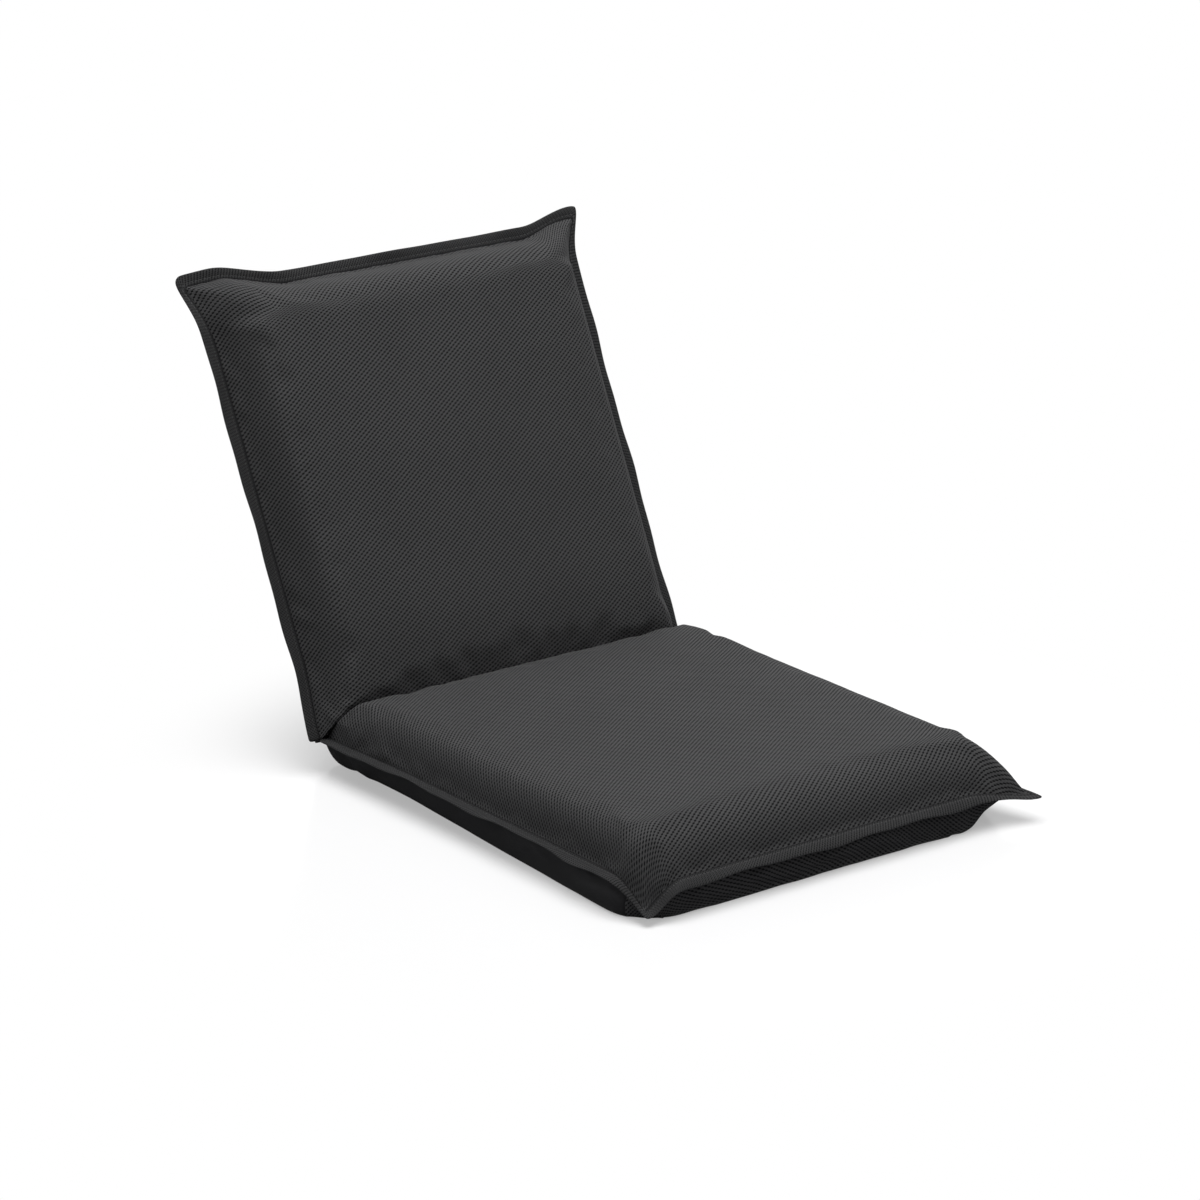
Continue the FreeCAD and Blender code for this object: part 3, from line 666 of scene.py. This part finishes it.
def hemLines(length):
    # the seam line and the folded edge, point for point, from one foot round both ears to the other
    side = np.linspace(0, 1, hem["sideSteps"] + 1)
    end = np.linspace(-1, 1, hem["endSteps"] + 1)[1:-1]
    tip = length - chair["hemWidth"]
    far = seamEnd(np.array([chair["tipAcross"]]), length)[0]
    seamSide = np.stack([seamAcross(side * tip, length), side * far], axis=-1)
    edgeSide = np.stack([seamAcross(side * tip, length, chair["seamDraw"]) + chair["hemWidth"],
                         side * (far + chair["hemWidth"])], axis=-1)
    seamX = end * seamAcross(tip, length)
    seamFar = np.stack([seamX, seamEnd(seamX, length)], axis=-1)
    edgeX = end * (chair["tipAcross"] + chair["hemWidth"])
    edgeFar = np.stack([edgeX, seamEnd(seamX, length) + chair["hemWidth"]], axis=-1)
    mirror = np.array([-1.0, 1.0])
    seam = np.concatenate([seamSide * mirror, seamFar, seamSide[::-1]])
    edge = np.concatenate([edgeSide * mirror, edgeFar, edgeSide[::-1]])
    # a rounded ear instead of a sharp one: the edge line is averaged with its neighbours near each tip
    away = np.minimum(np.abs(np.arange(len(edge)) - hem["sideSteps"]),
                      np.abs(np.arange(len(edge)) - (len(edge) - 1 - hem["sideSteps"])))
    share = np.clip(1 - away / hem["roundSteps"], 0, 1)[:, None] * hem["roundShare"]
    around = (np.roll(edge, 2, axis=0) + np.roll(edge, -2, axis=0)) / 2
    return seam, edge * (1 - share) + around * share


def hemPlace(cushion, share, height):
    # a point of the hem: share runs from the seam, 0, to the folded edge, 1. The free edge waves
    # a little, and everything lies on the plane of the hinge axis.
    length = chair[cushion + "Length"]
    seam, edge = hemLines(length)
    step = np.concatenate([[0], np.cumsum(np.linalg.norm(np.diff(edge, axis=0), axis=-1))])
    plan = seam[:, None] + (edge - seam)[:, None] * share
    longPhase, shortPhase = hem["phases"]
    wave = hem["wave"] * (np.sin(step * hem["longWave"] + length * longPhase)
                          + hem["shortShare"] * np.sin(step * hem["shortWave"] + shortPhase))
    feet = smooth(0, hem["footRun"], seam[:, 1])
    # the seat's hem hangs a little along its front
    hang = hem["hang"][cushion] * smooth(*hem["hangRun"], seam[:, 1] - length) \
        * (1 - smooth(*hem["hangEnd"], np.abs(seam[:, 0])))
    z = height + (wave * feet - hang)[:, None] * np.clip(share[..., 0], 0, 1) ** hem["waveRise"]
    return settle(np.concatenate([plan, z[..., None]], axis=-1), cushion), step


def makeHem(name, cushion, replaced):
    # cross-section: a flat ring round both layers, dipped along the stitches and round at the fold
    half = hem["thickness"] / 2
    tuck = hem["tuck"] / chair["hemWidth"]
    level = np.linspace(-tuck, 1, hem["ring"])
    aside = (level - hem["plumpAt"]) / hem["plumpHalf"]
    plump = np.sqrt(np.clip(1 - aside ** hem["plumpPower"], 0, 1))
    dip = 1 - hem["stitchDip"] * np.exp(-((level - hem["stitchAt"]) / hem["stitchWidth"]) ** 2)
    height = half * np.maximum(plump * dip, hem["thinnest"])
    share = np.concatenate([level, level[::-1]])[None, :, None]
    heights = np.concatenate([height, -height[::-1]])[None, :]
    points, step = hemPlace(cushion, share, heights)
    rows = len(points)
    # both ends are cut along the crease's plane, where the two hems meet
    foot = np.clip(1 - points[..., 1] / hem["footCut"], 0, 1)
    points[..., 1] += foot * points[..., 2] * creaseLean
    ringStep = np.linalg.norm(np.diff(points[rows // 4], axis=0), axis=-1)
    around = np.concatenate([[0], np.cumsum(ringStep)])[None, :]
    uv = np.stack(np.broadcast_arrays(around, step[:, None]), axis=-1)
    world = places[cushion](points)
    faces, caps = tubeFaces(world, world.mean(axis=1))
    piece = makePiece(name, world, faces, finishes["hem"], uv, caps)
    rounded(piece)
    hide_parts(replaced)
    bendsWithBack(piece)


makeHem("seatHem", "seat", "seat_hem")
makeHem("backHem", "back", "back_hem")
print("hems made")

stitch = {"pitch": 0.0044, "length": 0.0034, "radius": 0.00034, "sink": 0.0001, "lift": 0.75,
          "rings": 6, "around": 6, "blunt": 0.06, "taper": 0.6}


def makeStitches(name, cushion):
    # each stitch is a short rounded thread, thickest in the middle, lying in the hem's dip on both faces
    half = hem["thickness"] / 2 * (1 - hem["stitchDip"])
    line = {}
    for face in (1, -1):
        share = np.array([[[hem["stitchAt"]]]])
        points, step = hemPlace(cushion, share, np.array([[face * half]]))
        line[face] = points[:, 0]
    starts = np.arange(stitch["pitch"], step[-1] - stitch["pitch"], stitch["pitch"])
    run = np.linspace(0, 1, stitch["rings"])
    ring = np.linspace(0, 2 * np.pi, stitch["around"] + 1)[:-1]
    bluntRun = stitch["blunt"] + (1 - 2 * stitch["blunt"]) * run
    girth = stitch["radius"] * np.sin(np.pi * bluntRun) ** stitch["taper"]
    pieces = []
    for face in (1, -1):
        at = starts[:, None] + stitch["length"] * run[None, :]
        centre = np.stack([np.interp(at, step, line[face][:, axis]) for axis in range(3)], axis=-1)
        centre[..., 2] += face * (stitch["radius"] * stitch["lift"] * np.sin(np.pi * run) - stitch["sink"])
        along = centre[:, -1] - centre[:, 0]
        along /= np.linalg.norm(along, axis=-1, keepdims=True)
        sideways = np.stack([-along[:, 1], along[:, 0], 0 * along[:, 0]], axis=-1)
        upward = np.array([0.0, 0.0, 1.0])
        circle = np.cos(ring)[:, None] * sideways[:, None, None] + np.sin(ring)[:, None] * upward
        pieces.append(centre[:, :, None] + girth[None, :, None, None] * circle)
    points = np.concatenate(pieces)
    count, rows, columns = points.shape[:3]
    one = gridFaces(rows, columns, loop=True)
    faces = (one[None] + (np.arange(count) * rows * columns)[:, None, None]).reshape(-1, 4)
    world = places[cushion](points).reshape(-1, 3)
    ends = np.arange(columns)
    first = np.arange(count) * rows * columns
    last = first + (rows - 1) * columns
    caps = [start + ends[::-1] for start in first] + [start + ends for start in last]
    piece = makePiece(name, world, faces, finishes["thread"], None, caps)
    bendsWithBack(piece)


makeStitches("seatStitches", "seat")
makeStitches("backStitches", "back")
print("stitches made")


# Filling: foam slabs that fit the covers and leave room for frames, hinges and zip

filling = {"shrink": 0.005, "within": 0.02, "frameSide": 0.0104, "underSide": 0.0082,
           "hingeRoom": 0.0275, "hingeAcross": 0.175, "pocket": 0.010, "pocketLength": 0.072,
           "pocketDepth": 0.0262, "thinnest": 0.9, "underFill": 0.6, "zipSide": 0.012,
           "zipHalf": 0.017, "zipDepth": 0.0266}
foamGrid = {"side": 6, "middle": 44, "roll": 3, "main": 44, "nose": 6}


def makeFoam(name, shape, up, cushion, replaced, zipRoom=False):
    # the cover's own form, smaller, down to the felt and hollowed over the hinge and its tail
    points = cushionSurface(shape, up, filling["shrink"], foamGrid)
    x, y = points[..., 0], points[..., 1]
    least = filling["frameSide"] if up > 0 else filling["underSide"]
    room = np.sqrt(np.clip(filling["hingeRoom"] ** 2 - y ** 2, 0, None))
    pocket = (np.abs(np.abs(x) - filling["hingeAcross"]) < filling["pocket"]) & (y < filling["pocketLength"])
    inner = np.maximum(np.maximum(least, room), np.where(pocket, filling["pocketDepth"], 0))
    outer = np.abs(points[..., 2])
    if up < 0:
        outer = outer * (1 + filling["shrink"] / shape["shoulder"] * filling["underFill"])
    if zipRoom:
        near = (np.abs(x) < zipPlace["half"] + filling["zipSide"]) \
            & (np.abs(y - zipPlace["along"]) < filling["zipHalf"])
        outer = np.where(near, np.minimum(outer, filling["zipDepth"]), outer)
    inner = np.minimum(inner, outer * filling["thinnest"])
    outside = settle(np.stack([x, y, up * outer], axis=-1), cushion, filling["within"])
    inside = settle(np.stack([x, y, up * inner], axis=-1), cushion, filling["within"])
    makeSlab(name, outside, inside, cushion, finishes["foam"], replaced, "foam")


def makeSlab(name, outside, inside, cushion, finish, replaced, slotName):
    # a closed pad between two grids of points, walled in along their border
    rows, columns = outside.shape[:2]
    count = rows * columns
    both = np.concatenate([outside.reshape(-1, 3), inside.reshape(-1, 3)])
    top = gridFaces(rows, columns)
    bottom = top[:, ::-1] + count
    border = np.concatenate([np.arange(columns), np.arange(1, rows) * columns + columns - 1,
                             (rows - 1) * columns + np.arange(columns - 2, -1, -1),
                             np.arange(rows - 2, 0, -1) * columns])
    after = np.roll(border, -1)
    wall = np.stack([border, border + count, after + count, after], axis=-1)
    faces = np.concatenate([top, bottom, wall])
    world = places[cushion](both)
    corners = world[faces]
    volume = np.sum(np.cross(corners[:, 1] - corners[:, 0], corners[:, 2] - corners[:, 0]) * corners[:, 0])
    volume += np.sum(np.cross(corners[:, 2] - corners[:, 0], corners[:, 3] - corners[:, 0]) * corners[:, 0])
    if volume < 0:
        faces = faces[:, ::-1]
    piece = makePiece(name, world, faces, finish)
    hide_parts(replaced)
    if slotName == "foam":
        bendsWithBack(piece)
    else:
        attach(piece, cushion)


makeFoam("seatFoam", seatCushion, 1, "seat", "seat_foam")
makeFoam("seatUnderFoam", seatUnderside, -1, "seat", "seat_underfoam")
makeFoam("backFoam", backCushion, 1, "back", "back_foam")
makeFoam("backRearFoam", backUnderside, -1, "back", "back_rear_foam", zipRoom=True)
print("foam made")

felt = {"across": 0.1788, "start": 0.070, "end": {"seat": 0.424, "back": 0.378}, "outer": 0.0101,
        "inner": 0.0081, "mat": 0.00012, "matTurns": (61, 17, 73), "steps": 40}


def makeFelt(name, cushion, replaced):
    # flat felt between the tubes and the foam, a little uneven from being matted
    across = np.linspace(-felt["across"], felt["across"], felt["steps"])[None, :]
    along = np.linspace(felt["start"], felt["end"][cushion], felt["steps"])[:, None]
    acrossTurns, slantTurns, alongTurns = felt["matTurns"]
    slant = np.sin(across * acrossTurns + along * slantTurns)
    uneven = felt["mat"] * (slant * np.sin(along * alongTurns) - 1)
    x, y, outer = np.broadcast_arrays(across, along, felt["outer"] + uneven)
    inner = np.full_like(outer, felt["inner"])
    makeSlab(name, np.stack([x, y, outer], axis=-1), np.stack([x, y, inner], axis=-1), cushion,
             finishes["felt"], replaced, "felt")


makeFelt("seatFelt", "seat", "seat_felt")
makeFelt("backFelt", "back", "back_felt")

tape = {"half": 0.156, "width": 0.026, "outer": 0.0279, "thickness": 0.0008, "pucker": 0.00012,
        "puckerTurns": 420, "steps": 160, "rows": 13}
coil = {"half": 0.1455, "pitch": 0.0015, "aside": 0.00145, "halfWidth": 0.0013, "halfHeight": 0.00055,
        "radius": 0.00025, "around": 10, "ring": 4, "depth": 0.0287}


def makeTape():
    # a woven band sewn behind the slit, slightly puckered along both seams
    across = np.linspace(-tape["half"], tape["half"], tape["steps"])[None, :]
    along = np.linspace(-0.5, 0.5, tape["rows"])[:, None] * tape["width"]
    nearSeam = np.clip(np.abs(along) / tape["width"] * 4 - 1, 0, 1)
    lift = tape["pucker"] * (1 + np.sin(across * tape["puckerTurns"])) * nearSeam
    x, y, z = np.broadcast_arrays(across, along + zipPlace["along"], lift - tape["outer"])
    points = np.stack([x, y, z], axis=-1)
    world = placeBack(points).reshape(-1, 3)
    inside = placeBack(np.array([0.0, zipPlace["along"], 0.0]))
    faces = faceOut(world, gridFaces(*points.shape[:2]), inside)
    piece = makePiece("zipTape", world, faces, finishes["tape"], points[..., :2].copy())
    thickened(piece, tape["thickness"])
    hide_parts("zip_tape")
    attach(piece, "back")


def makeCoil():
    # two long coils side by side whose turns mesh in the middle; the second is half a turn on
    turns = int(2 * coil["half"] / coil["pitch"])
    walk = np.linspace(0, turns, turns * coil["around"] + 1)
    ring = np.linspace(0, 2 * np.pi, coil["ring"] + 1)[:-1]
    pieces, faces, caps = [], [], []
    for number, side in enumerate((1, -1)):
        angle = 2 * np.pi * (walk + (0.5 if side < 0 else 0))
        centre = np.stack([-coil["half"] + walk * coil["pitch"],
                           zipPlace["along"] + side * coil["aside"] + coil["halfWidth"] * np.cos(angle),
                           -coil["depth"] + coil["halfHeight"] * np.sin(angle)], axis=-1)
        outward = np.stack([0 * angle, np.cos(angle), np.sin(angle)], axis=-1)
        sideways = np.array([1.0, 0.0, 0.0])
        points = centre[:, None] + coil["radius"] * (np.cos(ring)[None, :, None] * outward[:, None]
                                                     + np.sin(ring)[None, :, None] * sideways)
        coilFaces, ends = tubeFaces(points, centre, start=number * points.shape[0] * points.shape[1])
        pieces.append(points.reshape(-1, 3))
        faces.append(coilFaces)
        caps += ends
    piece = makePiece("zipCoil", placeBack(np.concatenate(pieces)), np.concatenate(faces), finishes["coil"],
                      caps=caps)
    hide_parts("zip_chain")
    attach(piece, "back")


makeTape()
makeCoil()
print("felts and zip made")


# Carried-over pieces of the frame, hinges and zip, found by a word in their names

looks = {"frame": ("frame_tube", "cross_tube"), "hinge": ("plate", "gear"), "rivet": ("rivet", "spring_pin"),
         "spring": ("claw_spring",), "zipMetal": ("zip_slider", "zip_pull", "zip_end_stops")}
for name, node in frame["nodes"].items():
    for look, words in looks.items():
        if any(word in name for word in words):
            node.data.materials.clear()
            node.data.materials.append(finishes[look])
print("frame pieces dressed")


# Camera, at the photograph's viewing angle

view = {"azimuth": -37.27, "elevation": 18.415, "place": (-2.3735, -3.0224, 1.4599), "lens": 142.33,
        "sensor": 36.0}


def makeCamera():
    data = bpy.data.cameras.new("camera")
    data.lens = view["lens"]
    data.sensor_width = view["sensor"]
    camera = bpy.data.objects.new("camera", data)
    bpy.context.scene.collection.objects.link(camera)
    azimuth, elevation = np.radians(view["azimuth"]), np.radians(view["elevation"])
    right = Vector((np.cos(azimuth), np.sin(azimuth), 0))
    upward = Vector((-np.sin(azimuth) * np.sin(elevation), np.cos(azimuth) * np.sin(elevation),
                     np.cos(elevation)))
    back = right.cross(upward)
    turn = Matrix((right, upward, back)).transposed().to_4x4()
    camera.matrix_world = Matrix.Translation(view["place"]) @ turn
    bpy.context.scene.camera = camera


makeCamera()


# Light and floor

light = {"world": 0.16, "towards": (0, 0.1, 0.15),
         "lamps": (("overhead", (0.1, -0.10, 2.5), 2.3, 78.0), ("front", (1.2, -2.4, 2.2), 1.4, 5.0),
                   ("left", (-2.4, 0.9, 1.5), 1.2, 9.0))}


def makeLamp(name, place, size, power):
    data = bpy.data.lights.new(name, "AREA")
    data.shape = "SQUARE"
    data.size = size
    data.energy = power
    lamp = bpy.data.objects.new(name, data)
    bpy.context.scene.collection.objects.link(lamp)
    towards = Vector(light["towards"]) - Vector(place)
    lamp.matrix_world = Matrix.Translation(place) @ towards.to_track_quat("-Z", "Y").to_matrix().to_4x4()


for lamp in light["lamps"]:
    makeLamp(*lamp)


def makeWorld():
    # an even pale room; the camera and mirror-like surfaces see it white
    world = bpy.data.worlds.new("room")
    world.use_nodes = True
    bpy.context.scene.world = world
    tree = world.node_tree
    shade = tree.nodes["Background"]
    path = tree.nodes.new("ShaderNodeLightPath")
    seen = tree.nodes.new("ShaderNodeMath")
    seen.operation = "MAXIMUM"
    tree.links.new(path.outputs["Is Camera Ray"], seen.inputs[0])
    tree.links.new(path.outputs["Is Glossy Ray"], seen.inputs[1])
    strength = tree.nodes.new("ShaderNodeMapRange")
    strength.inputs["To Min"].default_value = light["world"]
    strength.inputs["To Max"].default_value = 1.0
    tree.links.new(seen.outputs[0], strength.inputs["Value"])
    tree.links.new(strength.outputs[0], shade.inputs["Strength"])
    shade.inputs["Color"].default_value = (1, 1, 1, 1)


makeWorld()


floorLook = {"roughness": 0.16, "specular": 0.3, "lit": (0.93, 0.93, 0.935), "mirrored": (0.20, 0.20, 0.21),
             "whiteFrom": (0.26, 0.52), "whiteLeast": 0.36, "reach": 8.0, "below": 0.0002}


def makeFloor():
    # a white sheet that is lit near the chair and simply white further out; near the chair a share of it
    # glows white as well, painted light that lightens the chair's shadow
    finish = Finish("floor", roughness=floorLook["roughness"], specular=floorLook["specular"])
    path = finish.add("ShaderNodeLightPath", {}, {}, output="Is Camera Ray")
    # the chair sees a greyer floor than the camera does, so that its sides stay dark
    finish.set("Base Color", finish.mix(path, floorLook["mirrored"], floorLook["lit"]))
    place = finish.objectPlace()
    distance = finish.add("ShaderNodeVectorMath", {"operation": "LENGTH"}, {0: place}, output="Value")
    white = finish.add("ShaderNodeEmission", {}, {"Color": (1, 1, 1, 1), "Strength": 1.0})
    # painted light: even under the chair the floor glows white by the least share, lightening its shadow
    least = floorLook["whiteLeast"]
    share = (distance.between(*floorLook["whiteFrom"]) * (1 - least) + least) * path
    joined = finish.tree.nodes.new("ShaderNodeMixShader")
    finish.give(joined.inputs[0], share)
    finish.tree.links.new(finish.shader.outputs[0], joined.inputs[1])
    finish.give(joined.inputs[2], white)
    finish.tree.links.new(joined.outputs[0], finish.tree.nodes["Material Output"].inputs[0])
    corners = np.array([[-1, -1, 0], [1, -1, 0], [1, 1, 0], [-1, 1, 0]]) * floorLook["reach"]
    points = corners - np.array([0, 0, floorLook["below"]])
    floor = makePiece("floor", points, np.array([[0, 1, 2, 3]]), finish.material)


makeFloor()
bpy.context.scene.view_settings.view_transform = "Standard"
print("stage set")
